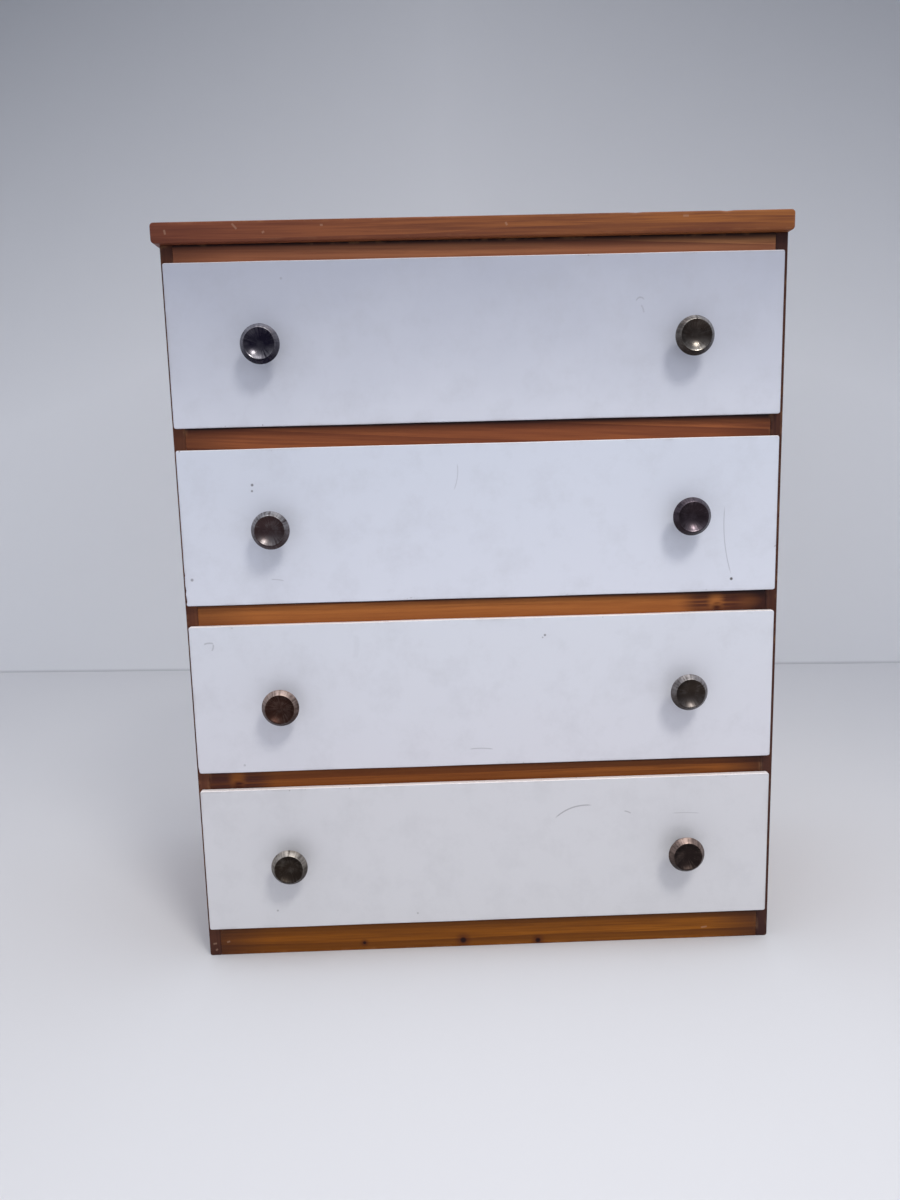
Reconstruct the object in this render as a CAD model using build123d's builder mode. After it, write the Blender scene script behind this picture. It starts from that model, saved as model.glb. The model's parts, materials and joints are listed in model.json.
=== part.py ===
from build123d import *
import os

# A miniature chest of four drawers: a pine carcass with rails between its sides, and four
# drawers whose thin white fronts lie over the rails, each with two dished metal knobs.
# Millimetres, +Z up, fronts facing -Y. The origin is on the floor, in the middle of the
# carcass's width and of the whole depth, knobs included.

# Carcass boards
carcass_width = 254.0
carcass_depth = 140.0  # side panels and back panel together
side_thick = 5.0
side_foot_round = 1.2  # the outer bottom corners of the side panels
back_thick = 3.0
top_thick = 8.0
top_side_overhang = 1.85
top_front_overhang = 4.0
top_shift = -0.6  # the top was glued on a little to the left
top_end_round = 1.5  # the ends of the top, seen from the front
top_edge_round = 0.6  # the top's front edges

# Rails, runners and kickers
bottom_rail_height = 15.8
drawer_rail_height = 12.5
top_rail_height = 9.3
rail_depth = 12.0
runner_width = 6.0

# Drawer fronts
drawer_count = 4
front_side_margin = 1.75  # from the ends of a front to the outsides of the side panels
front_height = 65.0
front_thick = 3.0
front_lap = 1.9  # how far a front lies over the rail above it and the rail below it
front_shift = -0.45  # all four fronts were fixed a little to the left
front_lift = (0.0, -0.2, -0.5, 0.1)  # and each one a little high or low, from the top drawer
front_corner_round = 0.9
front_edge_round = 0.4

# Drawer boxes
box_back_gap = 7.2  # between a closed drawer box and the back panel
box_front_thick = 5.0
box_wall_thick = 4.0
bottom_thick = 2.0
bottom_rise = 3.0  # from the lower edge of the box to the bottom panel
groove_depth = 2.0

# Knobs: a foot, a neck, a flared head with a bevelled flank, and a dished face
knob_spacing = 173.6
knob_drop = 0.65  # knob centres lie a little below the middle of the front
knob_rise = ((0.2, -0.5), (0.0, 1.0), (-1.1, 0.2), (0.4, 0.0))  # hand drilled: left, right
knob_projection = 10.5
knob_foot_radius = 4.0
knob_foot_height = 0.8
knob_neck_radius = 3.0
knob_head_radius = 7.9
knob_head_depth = 5.1  # from the face back to where the neck starts to flare
knob_lip_depth = 0.5  # the short upright edge at the widest circle
knob_rim_radius = 6.25
knob_bevel_depth = 2.4
knob_rim_width = 0.35
knob_dish_depth = 2.2
knob_end_wall = 2.3  # metal left between the dish and the screw hole

# Fixings
knob_screw_radius = 1.5
knob_screw_head_radius = 2.8
knob_screw_head_height = 1.8
pin_radius = 0.6
pin_head_radius = 1.1
pin_head_height = 0.6
side_pin_length = 14.0
back_pin_length = 10.0
back_pins_per_side = 4
back_pin_end_margin = 28.0
back_pin_spacing = 88.0
top_screw_radius = 1.25
top_screw_head_radius = 2.4
top_screw_head_height = 1.5
top_screw_bite = 5.0  # how far a screw goes into the top
top_screw_spacing = 122.0

# Clearances
front_gap = 0.2  # between a closed drawer's front and the rails behind it
slide_gap = 0.2  # between a drawer box and the runners under it
box_side_play = 0.5
box_top_play = 1.0
groove_play = 0.3  # at the edges of a bottom panel in its grooves
screw_end_gap = 0.5  # at the end of a knob screw in its hole

# Heights that follow
opening_height = front_height - 2 * front_lap
drawer_pitch = opening_height + drawer_rail_height
carcass_height = (
    bottom_rail_height
    + drawer_count * opening_height
    + (drawer_count - 1) * drawer_rail_height
    + top_rail_height
)

# Widths that follow
front_width = carcass_width - 2 * front_side_margin
opening_width = carcass_width - 2 * side_thick
box_width = opening_width - 2 * box_side_play
inner_width = box_width - 2 * box_wall_thick
side_edge = carcass_width / 2
opening_edge = opening_width / 2

# Depths that follow, from the front of the knobs to the back of the back panel
total_depth = carcass_depth + front_gap + front_thick + knob_projection
back_y = total_depth / 2
carcass_y = back_y - carcass_depth
back_panel_y = back_y - back_thick
drawer_y = carcass_y - front_gap  # the joint between a box and its front
front_y = drawer_y - front_thick
box_end_y = back_panel_y - box_back_gap
rail_end_y = carcass_y + rail_depth
rear_rail_y = back_panel_y - rail_depth

# Knob screws reach from inside the box through both fronts into the knob.
knob_bore_depth = knob_projection - knob_dish_depth - knob_end_wall
knob_screw_length = box_front_thick + front_thick + knob_bore_depth - screw_end_gap

UP = (Align.CENTER, Align.CENTER, Align.MIN)
DRAWERS = range(1, drawer_count + 1)  # drawer 1 is the top one


def opening_bottom(drawer):
    """Height of the runners that a drawer slides on."""
    return bottom_rail_height + (drawer_count - drawer) * drawer_pitch


def box_bottom(drawer):
    """Height of the lower edge of a drawer box."""
    return opening_bottom(drawer) + slide_gap


def front_bottom(drawer):
    """Height of the lower edge of a drawer front."""
    return opening_bottom(drawer) - front_lap + front_lift[drawer - 1]


def knob_centres(drawer):
    """The two knob centres of a drawer, left then right, on the front's outer face."""
    middle = front_bottom(drawer) + front_height / 2 - knob_drop
    left_rise, right_rise = knob_rise[drawer - 1]
    left = Vector(front_shift - knob_spacing / 2, front_y, middle + left_rise)
    right = Vector(front_shift + knob_spacing / 2, front_y, middle + right_rise)
    return left, right


def save(piece, name):
    """Labels a finished piece and writes it."""
    piece.part.label = name
    export_step(piece.part, f"parts/{name}.step")


def block(low, high, mode=Mode.ADD):
    """A rectangular block between two opposite corners, for use inside a part."""
    size = Vector(*high) - Vector(*low)
    middle = (Vector(*high) + Vector(*low)) / 2
    with Locations((middle.X, middle.Y, low[2])):
        Box(size.X, size.Y, size.Z, align=UP, mode=mode)


def headed_pins(face, places, inward, length, mode):
    """Panel pins driven from a face until their heads are flush with it."""
    with BuildSketch(face) as heads:
        with Locations(*places):
            Circle(pin_head_radius)
    extrude(heads.sketch, amount=inward * pin_head_height, mode=mode)
    with BuildSketch(face.offset(inward * pin_head_height)) as shanks:
        with Locations(*places):
            Circle(pin_radius)
    extrude(shanks.sketch, amount=inward * (length - pin_head_height), mode=mode)


def side_pins(mode, sides=(-1, 1)):
    """Pins through the side panels into the ends of the front and rear rails."""
    front_line = carcass_y + rail_depth / 2
    rear_line = rear_rail_y + rail_depth / 2
    low_line = bottom_rail_height / 2
    high_line = carcass_height - top_rail_height / 2
    rail_lines = [
        opening_bottom(drawer) - drawer_rail_height / 2 for drawer in DRAWERS[:-1]
    ]
    places = [(front_line, line) for line in (low_line, *rail_lines, high_line)]
    places += [(rear_line, low_line), (rear_line, high_line)]
    for side in sides:
        headed_pins(
            Plane.YZ.offset(side * side_edge), places, -side, side_pin_length, mode
        )


def back_pins(mode):
    """Pins through the back panel into the side panels and the rear rails."""
    # A plane that faces +Y has its own X to the left, so places are mirrored in X.
    face = Plane(origin=(0, back_y, 0), x_dir=(-1, 0, 0), z_dir=(0, 1, 0))
    edge_line = side_edge - side_thick / 2
    step = (carcass_height - 2 * back_pin_end_margin) / (back_pins_per_side - 1)
    places = [
        (side * edge_line, back_pin_end_margin + count * step)
        for side in (-1, 1)
        for count in range(back_pins_per_side)
    ]
    places += [
        (count * back_pin_spacing, line)
        for count in (-1, 0, 1)
        for line in (bottom_rail_height / 2, carcass_height - top_rail_height / 2)
    ]
    headed_pins(face, places, -1, back_pin_length, mode)


def top_screws(mode):
    """Countersunk screws up through the top rail and rear top rail into the top."""
    base = carcass_height - top_rail_height
    lines = (carcass_y + rail_depth / 2, rear_rail_y + rail_depth / 2)
    places = [(side * top_screw_spacing / 2, line) for side in (-1, 1) for line in lines]
    with Locations(*[(x, y, base) for x, y in places]):
        Cone(top_screw_head_radius, top_screw_radius, top_screw_head_height, align=UP, mode=mode)
    shank = top_rail_height + top_screw_bite - top_screw_head_height
    with Locations(*[(x, y, base + top_screw_head_height) for x, y in places]):
        Cylinder(top_screw_radius, shank, align=UP, mode=mode)


def knob_screws(drawer, mode):
    """Screws from inside a drawer box through its front, one into each knob."""
    places = [(centre.X, centre.Z) for centre in knob_centres(drawer)]
    seat = Plane(
        origin=(0, drawer_y + box_front_thick, 0), x_dir=(1, 0, 0), z_dir=(0, -1, 0)
    )
    with BuildSketch(seat) as shanks:
        with Locations(*places):
            Circle(knob_screw_radius)
    extrude(shanks.sketch, amount=knob_screw_length, mode=mode)
    with BuildSketch(seat) as heads:
        with Locations(*places):
            Circle(knob_screw_head_radius)
    extrude(heads.sketch, amount=-knob_screw_head_height, mode=mode)


def side_panel(side):
    """A side panel, which stands on the floor and carries the rails and runners."""
    inner, outer = sorted((side * opening_edge, side * side_edge))
    with BuildPart() as panel:
        block((inner, carcass_y, 0), (outer, back_panel_y, carcass_height))
        lower_edges = panel.edges().filter_by(Axis.Y).group_by(Axis.Z)[0]
        outer_edge = lower_edges.sort_by(Axis.X)[0 if side < 0 else -1]
        fillet(outer_edge, side_foot_round)
        side_pins(Mode.SUBTRACT, sides=(side,))
        back_pins(Mode.SUBTRACT)
    return panel


def top_board():
    """The top, which overhangs at the front and at both ends and is flush at the back."""
    edge = side_edge + top_side_overhang
    low = (top_shift - edge, carcass_y - top_front_overhang, carcass_height)
    high = (top_shift + edge, back_y, carcass_height + top_thick)
    with BuildPart() as top:
        block(low, high)
        fillet(top.edges().filter_by(Axis.Y), top_end_round)
        fillet(top.faces().sort_by(Axis.Y)[0].edges(), top_edge_round)
        top_screws(Mode.SUBTRACT)
    return top


def front_rail(low_z, high_z):
    """A rail between the side panels, flush with their front edges."""
    with BuildPart() as rail:
        block((-opening_edge, carcass_y, low_z), (opening_edge, rail_end_y, high_z))
        side_pins(Mode.SUBTRACT)
    return rail


def top_rail():
    """The front rail under the top, with the holes for the screws that hold it."""
    low_z = carcass_height - top_rail_height
    with BuildPart() as rail:
        block((-opening_edge, carcass_y, low_z), (opening_edge, rail_end_y, carcass_height))
        side_pins(Mode.SUBTRACT)
        top_screws(Mode.SUBTRACT)
    return rail


def rear_top_rail():
    """The rail against the back panel under the top."""
    low_z = carcass_height - top_rail_height
    with BuildPart() as rail:
        block((-opening_edge, rear_rail_y, low_z), (opening_edge, back_panel_y, carcass_height))
        side_pins(Mode.SUBTRACT)
        top_screws(Mode.SUBTRACT)
        back_pins(Mode.SUBTRACT)
    return rail


def rear_bottom_rail():
    """The rail against the back panel at the floor."""
    with BuildPart() as rail:
        block((-opening_edge, rear_rail_y, 0), (opening_edge, back_panel_y, bottom_rail_height))
        side_pins(Mode.SUBTRACT)
        back_pins(Mode.SUBTRACT)
    return rail


def back_panel():
    """The thin back, pinned over the rear edges of the sides and rails."""
    with BuildPart() as panel:
        block((-side_edge, back_panel_y, 0), (side_edge, back_y, carcass_height))
        back_pins(Mode.SUBTRACT)
    return panel


def side_strip(side, high_z, height, end_y):
    """A runner or kicker glued along the inside of a side panel, behind the front rail."""
    inner, outer = sorted((side * (opening_edge - runner_width), side * opening_edge))
    with BuildPart() as strip:
        block((inner, rail_end_y, high_z - height), (outer, end_y, high_z))
    return strip


def side_pin_group():
    """All the pins through the two side panels."""
    with BuildPart() as group:
        side_pins(Mode.ADD)
    return group


def back_pin_group():
    """All the pins through the back panel."""
    with BuildPart() as group:
        back_pins(Mode.ADD)
    return group


def top_screw_group():
    """The four screws that hold the top."""
    with BuildPart() as group:
        top_screws(Mode.ADD)
    return group


def drawer_front(drawer):
    """The thin white front that lies over the rails, glued to the drawer box."""
    edge = front_width / 2
    low = (front_shift - edge, front_y, front_bottom(drawer))
    high = (front_shift + edge, drawer_y, front_bottom(drawer) + front_height)
    with BuildPart() as front:
        block(low, high)
        fillet(front.edges().filter_by(Axis.Y), front_corner_round)
        fillet(front.faces().sort_by(Axis.Y)[0].edges(), front_edge_round)
        knob_screws(drawer, Mode.SUBTRACT)
    return front


def box_height():
    """Height of a drawer box."""
    return opening_height - slide_gap - box_top_play


def cut_groove(drawer):
    """The groove round the inside of a drawer box that holds its bottom panel."""
    reach = inner_width / 2 + groove_depth
    low_z = box_bottom(drawer) + bottom_rise
    low = (-reach, drawer_y + box_front_thick - groove_depth, low_z)
    block(low, (reach, box_end_y, low_z + bottom_thick), mode=Mode.SUBTRACT)


def box_front(drawer):
    """The inner front of a drawer box, between its sides."""
    low_z = box_bottom(drawer)
    edge = inner_width / 2
    high = (edge, drawer_y + box_front_thick, low_z + box_height())
    with BuildPart() as board:
        block((-edge, drawer_y, low_z), high)
        cut_groove(drawer)
        knob_screws(drawer, Mode.SUBTRACT)
    return board


def box_side(drawer, side):
    """A side of a drawer box, grooved for the bottom panel."""
    low_z = box_bottom(drawer)
    inner, outer = sorted((side * inner_width / 2, side * box_width / 2))
    with BuildPart() as board:
        block((inner, drawer_y, low_z), (outer, box_end_y, low_z + box_height()))
        cut_groove(drawer)
    return board


def box_back(drawer):
    """The back of a drawer box, which stands on the bottom panel."""
    low_z = box_bottom(drawer) + bottom_rise + bottom_thick
    high_z = box_bottom(drawer) + box_height()
    edge = inner_width / 2
    with BuildPart() as board:
        block((-edge, box_end_y - box_wall_thick, low_z), (edge, box_end_y, high_z))
    return board


def box_bottom_panel(drawer):
    """The thin bottom, held in the grooves and passing under the back."""
    reach = groove_depth - groove_play
    edge = inner_width / 2 + reach
    low_z = box_bottom(drawer) + bottom_rise
    low = (-edge, drawer_y + box_front_thick - reach, low_z)
    with BuildPart() as panel:
        block(low, (edge, box_end_y, low_z + bottom_thick))
    return panel


def knob(centre):
    """A dished knob turned about an axis square to the drawer front."""
    # In this sketch X is the radius and Y is the distance out from the drawer front.
    section = Plane(origin=centre, x_dir=(1, 0, 0), z_dir=(0, 0, -1))
    neck_top = knob_projection - knob_head_depth
    widest = knob_projection - knob_bevel_depth
    dish_radius = knob_rim_radius - knob_rim_width
    dish_bottom = (0, knob_projection - knob_dish_depth)
    neck_foot = (knob_neck_radius, knob_foot_height + knob_foot_radius - knob_neck_radius)
    with BuildPart() as turned:
        with BuildSketch(section):
            with BuildLine():
                Line((0, 0), (knob_foot_radius, 0))
                Line((knob_foot_radius, 0), (knob_foot_radius, knob_foot_height))
                RadiusArc(
                    (knob_foot_radius, knob_foot_height),
                    neck_foot,
                    knob_foot_radius - knob_neck_radius,
                )
                Line(neck_foot, (knob_neck_radius, neck_top))
                Line((knob_neck_radius, neck_top), (knob_head_radius, widest - knob_lip_depth))
                Line((knob_head_radius, widest - knob_lip_depth), (knob_head_radius, widest))
                Line((knob_head_radius, widest), (knob_rim_radius, knob_projection))
                Line((knob_rim_radius, knob_projection), (dish_radius, knob_projection))
                TangentArc(dish_bottom, (dish_radius, knob_projection), tangent=(1, 0))
                Line(dish_bottom, (0, 0))
            make_face()
        revolve(axis=Axis(centre, (0, -1, 0)))
        with BuildSketch(Plane(origin=centre, x_dir=(1, 0, 0), z_dir=(0, -1, 0))):
            Circle(knob_screw_radius)
        extrude(amount=knob_bore_depth, mode=Mode.SUBTRACT)
    return turned


def knob_screw_pair(drawer):
    """The two screws of a drawer's knobs."""
    with BuildPart() as pair:
        knob_screws(drawer, Mode.ADD)
    return pair


# The carcass
save(side_panel(-1), "side_left")
save(side_panel(1), "side_right")
save(top_board(), "top_board")
save(top_rail(), "top_rail")
save(rear_top_rail(), "rear_top_rail")
save(front_rail(0, bottom_rail_height), "bottom_rail")
save(rear_bottom_rail(), "rear_bottom_rail")
save(back_panel(), "back_panel")
for drawer in DRAWERS[:-1]:
    rail_top = opening_bottom(drawer)
    save(front_rail(rail_top - drawer_rail_height, rail_top), f"drawer_rail_{drawer}")
for side, word in ((-1, "left"), (1, "right")):
    save(side_strip(side, carcass_height, top_rail_height, rear_rail_y), f"kicker_{word}")
    for drawer in DRAWERS:
        end_y = rear_rail_y if drawer == drawer_count else back_panel_y
        runner = side_strip(side, opening_bottom(drawer), drawer_rail_height, end_y)
        save(runner, f"runner_{word}_{drawer}")
save(side_pin_group(), "side_pins")
save(back_pin_group(), "back_pins")
save(top_screw_group(), "top_screws")

# The drawers
for drawer in DRAWERS:
    save(drawer_front(drawer), f"drawer_{drawer}_front")
    save(box_front(drawer), f"drawer_{drawer}_box_front")
    save(box_side(drawer, -1), f"drawer_{drawer}_side_left")
    save(box_side(drawer, 1), f"drawer_{drawer}_side_right")
    save(box_back(drawer), f"drawer_{drawer}_back")
    save(box_bottom_panel(drawer), f"drawer_{drawer}_bottom")
    left_centre, right_centre = knob_centres(drawer)
    save(knob(left_centre), f"drawer_{drawer}_knob_left")
    save(knob(right_centre), f"drawer_{drawer}_knob_right")
    save(knob_screw_pair(drawer), f"drawer_{drawer}_knob_screws")
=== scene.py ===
import json
from math import atan2, cos, pi, radians, sin

import bmesh
import bpy
from mathutils import Matrix, Vector, noise


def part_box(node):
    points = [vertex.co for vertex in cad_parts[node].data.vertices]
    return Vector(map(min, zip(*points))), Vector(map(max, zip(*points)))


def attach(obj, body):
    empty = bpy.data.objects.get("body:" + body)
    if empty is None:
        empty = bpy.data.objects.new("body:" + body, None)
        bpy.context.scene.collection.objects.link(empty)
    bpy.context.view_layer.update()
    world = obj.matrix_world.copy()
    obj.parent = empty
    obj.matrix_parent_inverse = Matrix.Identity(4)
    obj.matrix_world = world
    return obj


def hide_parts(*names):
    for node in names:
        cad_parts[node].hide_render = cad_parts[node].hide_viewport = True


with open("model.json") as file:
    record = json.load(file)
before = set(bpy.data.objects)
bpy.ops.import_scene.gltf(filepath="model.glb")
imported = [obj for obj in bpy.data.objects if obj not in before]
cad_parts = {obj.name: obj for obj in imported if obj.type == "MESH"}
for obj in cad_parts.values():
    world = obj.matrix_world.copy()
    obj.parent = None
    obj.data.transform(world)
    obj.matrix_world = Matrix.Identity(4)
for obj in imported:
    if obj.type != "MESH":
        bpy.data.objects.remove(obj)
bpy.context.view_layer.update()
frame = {"nodes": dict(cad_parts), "record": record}

# A miniature chest of four drawers. The carcass is stained and varnished pine, the drawer
# fronts are thin white-painted hardboard, the boxes behind them are bare pine with plywood
# bottoms, and the knobs are dished castings in antique metal.
# Metres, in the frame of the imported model: +Z up, drawer fronts facing -Y.

MM = 0.001
NODES = frame["nodes"]
DRAWERS = (1, 2, 3, 4)  # from the top
BODY_OF = {n: b for b, members in frame["record"]["behaviour"]["bodies"].items() for n in members}


# ---------------------------------------------------------------- shading tools


def linear(hex_colour):
    """A linear RGBA colour from an sRGB hex value such as "8a5a3c"."""
    channels = [int(hex_colour[i:i + 2], 16) / 255 for i in (0, 2, 4)]
    return [c / 12.92 if c <= 0.04045 else ((c + 0.055) / 1.055) ** 2.4 for c in channels] + [1]


def add(tree, kind, inputs=None, **settings):
    """Adds a shader node. An input is a value or another node's socket."""
    made = tree.nodes.new("ShaderNode" + kind)
    for key, value in settings.items():
        setattr(made, key, value)
    for key, value in (inputs or {}).items():
        if isinstance(value, bpy.types.NodeSocket):
            tree.links.new(value, made.inputs[key])
        else:
            made.inputs[key].default_value = value
    return made


def new_material(name, **values):
    """A material with one principled shader, whose even values are set on its own sockets."""
    material = bpy.data.materials.new(name)
    material.use_nodes = True
    tree = material.node_tree
    tree.nodes.clear()
    shader = add(tree, "BsdfPrincipled", {key.replace("_", " "): v for key, v in values.items()})
    add(tree, "OutputMaterial", {"Surface": shader.outputs[0]})
    return material, tree, shader


def laid_on(tree, colour, hex_colour, pattern, start=0.0, end=1.0, most=1.0):
    """A colour with a second one laid on it, following a pattern.

    There is none of the second where the pattern is at start, and most where it is at end.
    Start may be the larger one.
    """
    limits = {"Value": pattern, "From Min": start, "From Max": end, "To Max": most}
    share = add(tree, "MapRange", limits).outputs[0]
    both = {"Factor": share, "A": colour, "B": linear(hex_colour)}
    return add(tree, "Mix", both, data_type="RGBA").outputs["Result"]


def by_edges(tree, pattern, start, end, most=1.0):
    """Rises to most as a pattern goes from start to end, but only where "edge" marks the mesh."""
    limits = {"Value": pattern, "From Min": start, "From Max": end, "To Max": most}
    passed = add(tree, "MapRange", limits).outputs[0]
    edge = add(tree, "Attribute", attribute_name="edge").outputs["Fac"]
    return add(tree, "Math", {0: edge, 1: passed}, operation="MULTIPLY").outputs[0]


def spot(tree, place, middle, radius, softness):
    """1 inside a round spot, fading to 0 over its soft edge."""
    away = add(tree, "VectorMath", {0: place, 1: middle}, operation="DISTANCE").outputs["Value"]
    limits = {"Value": away, "From Min": radius + softness, "From Max": max(radius - softness, 0)}
    return add(tree, "MapRange", limits, interpolation_type="SMOOTHSTEP").outputs[0]


def stroke(tree, place, start, end, bow, width):
    """1 along a thin bowed line on the front of a board, from start to end, which are (x, z)."""
    start, end = Vector(start), Vector(end)
    middle, run = (start + end) / 2, end - start
    # The line's own X runs from start to end, and its Z across it.
    turn = (0, -atan2(run.y, run.x), 0)
    half = (run.length / 2, 1, 1)
    line_axes = {"Vector": place, "Location": (middle.x, 0, middle.y), "Rotation": turn, "Scale": half}
    own = add(tree, "Mapping", line_axes, vector_type="TEXTURE")
    axes = add(tree, "SeparateXYZ", {0: own.outputs[0]})
    square = add(tree, "Math", {0: axes.outputs["X"], 1: axes.outputs["X"]}, operation="MULTIPLY")
    inside = add(tree, "Math", {0: 1.0, 1: square.outputs[0]}, operation="SUBTRACT")
    line = add(tree, "Math", {0: inside.outputs[0], 1: -bow, 2: axes.outputs["Z"]}, operation="MULTIPLY_ADD")
    off = add(tree, "Math", {0: line.outputs[0]}, operation="ABSOLUTE")
    across = {"Value": off.outputs[0], "From Min": width, "From Max": width / 4}
    thin = add(tree, "MapRange", across, interpolation_type="SMOOTHSTEP")
    ends = add(tree, "MapRange", {"Value": inside.outputs[0], "From Min": 0.0, "From Max": 0.4})
    return add(tree, "Math", {0: thin.outputs[0], 1: ends.outputs[0]}, operation="MULTIPLY").outputs[0]


# ---------------------------------------------------------------- materials

# About how wide the spots of each pattern are, in millimetres
FIBRE = 1.1             # real fibres are far finer, and are drawn as coarse as they need to show
STAIN_PATCH = 16
RUBBED_PATCH = 5
PLY_FIGURE = 7
PAINT_MOTTLE = 30
PAINT_GRIME = 14
PAINT_CHIP = 2.6
BRUSH_LAP = 2
METAL_BLOT = 3.5
ZINC_SPOT = 0.9
POLISH_STREAKS = 45.0   # round a knob

# How many times longer than wide a pattern is, along the grain or the brush
STAIN_STRETCH = 14
FIBRE_STRETCH = 45
PLY_STRETCH = 22
BRUSH_STRETCH = 12

# Colours of what time and hands have done to each finish, and of painted light: the dark on the
# side panels' front edges and on the rails under covering edges is painted shade with some
# dirt, and the near-white of upward faces of the fronts is a painted highlight
END_DIRT, EDGE_SHADE_AND_DIRT, RAIL_SHADE_AND_DIRT = "3c1e16", "2e1a1a", "1a0c10"
KNOT_SHADE, KNOT_EYE = "44201a", "3a120c"
PIN_HALO, PIN_CORE = "4e220e", "240a07"
SCRATCHED_STAIN, RUBBED_STAIN = "b9957c", "b98a60"
GREYED_PAINT, SCRATCHED_PAINT, SPECK = "a9a8aa", "6a656c", "3a2f2a"
GRUBBY_EDGE, TOP_EDGE_HIGHLIGHT, BARED_HARDBOARD = "8c7a70", "fff8f5", "5a3c2c"

WAVE_LENGTH = pi / 10   # of the wave texture, at a scale of 1
GRAIN_TURN = {"X": (0, 0, 0), "Y": (0, 0, pi / 2), "Z": (0, -pi / 2, 0)}
# Under a covered edge, painted shade with some dirt is a wide faint band with a narrow dark one
# on it. For each, how far down it reaches at the left and at the right end of a rail, in
# millimetres, and how dark it is
SHADE_AND_DIRT_BANDS = ((1.6, 3.4, 0.7), (0.5, 2.0, 0.95))


def pine_knot(tree, colour, face, fibres, early, x, z, radius):
    """Pine with a knot: a pale ring of bent grain, a dark eye at its lower edge, and dark grain
    on both sides. It is longer along the board than it is tall."""
    oval = {"Vector": face, "Location": (x * MM, 0, z * MM), "Scale": (1.25, 1, 1.6)}
    flat = add(tree, "Mapping", oval, vector_type="TEXTURE").outputs[0]
    # The fibres make its outlines ragged. They also move them by about a millimetre, which the
    # places of the spots allow for.
    ragged = add(tree, "Math", {0: fibres, 1: 2.4 * MM}, operation="MULTIPLY").outputs[0]
    swirl = add(tree, "VectorMath", {0: flat, 1: ragged}, operation="ADD").outputs[0]
    shade = spot(tree, swirl, (1.0 * MM, 0, 1.0 * MM), 2.9 * radius * MM, 1.2 * radius * MM)
    dense = {"Value": fibres, "From Min": 0.2, "From Max": 0.55, "To Max": 0.85}
    streaks = {0: shade, 1: add(tree, "MapRange", dense).outputs[0]}
    streaked = add(tree, "Math", streaks, operation="MULTIPLY").outputs[0]
    colour = laid_on(tree, colour, KNOT_SHADE, streaked)
    pale = spot(tree, swirl, (1.0 * MM, 0, 1.6 * MM), 0.7 * radius * MM, 0.5 * radius * MM)
    colour = laid_on(tree, colour, early, pale, most=0.8)
    eye_at = (1.2 * MM, 0, (1.0 - 0.5 * radius) * MM)
    eye = spot(tree, swirl, eye_at, 0.5 * radius * MM, 0.3 * radius * MM)
    return laid_on(tree, colour, KNOT_EYE, eye)


def pin_knot(tree, colour, face, x, z, radius):
    """Pine with a small dark knot, in a halo."""
    halo = spot(tree, face, (x * MM, 0, z * MM), 2.2 * radius * MM, 1.4 * radius * MM)
    colour = laid_on(tree, colour, PIN_HALO, halo, most=0.7)
    core = spot(tree, face, (x * MM, 0, z * MM), radius * MM, 0.4 * radius * MM)
    return laid_on(tree, colour, PIN_CORE, core)


def scratched(tree, colour, face, x, z, length, angle):
    """A stained board with a short pale scratch, turned by an angle in degrees."""
    run = Vector((cos(radians(angle)), sin(radians(angle)))) * length * MM / 2
    at = Vector((x, z)) * MM
    scratch = stroke(tree, face, at - run, at + run, 0.0, 0.6 * MM)
    return laid_on(tree, colour, SCRATCHED_STAIN, scratch, most=0.36)


def dirty_ends(tree, colour, along, patches, start, end, grime):
    """A board with dirt near its two ends, by the two amounts of grime."""
    from_middle = add(tree, "Math", {0: along, 1: (start + end) / 2}, operation="SUBTRACT").outputs[0]
    off = add(tree, "Math", {0: from_middle}, operation="ABSOLUTE").outputs[0]
    wander = add(tree, "Math", {0: patches, 1: 30 * MM, 2: off}, operation="MULTIPLY_ADD").outputs[0]
    half = (end - start) / 2
    close = {"Value": wander, "From Min": half - 8 * MM, "From Max": half + 14 * MM}
    near_end = add(tree, "MapRange", close).outputs[0]
    amounts = {"Value": along, "From Min": start, "From Max": end, "To Min": grime[0], "To Max": grime[1]}
    amount = add(tree, "MapRange", amounts).outputs[0]
    dark = add(tree, "Math", {0: near_end, 1: amount}, operation="MULTIPLY").outputs[0]
    return laid_on(tree, colour, END_DIRT, dark)


def shaded_and_dirty_under(tree, colour, along, height, start, end, edge_height, shade_and_dirt_reach):
    """A rail with a dark band under the edge that covers its top, wider to the right: painted shade, with
    some dirt.
    """
    for left_reach, right_reach, depth in SHADE_AND_DIRT_BANDS:
        lowest = {"Value": along, "From Min": start, "From Max": end,
                  "To Min": edge_height - left_reach * shade_and_dirt_reach * MM,
                  "To Max": edge_height - right_reach * shade_and_dirt_reach * MM}
        reach = add(tree, "MapRange", lowest).outputs[0]
        colour = laid_on(tree, colour, RAIL_SHADE_AND_DIRT, height, reach, edge_height, depth)
    return colour


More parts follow.
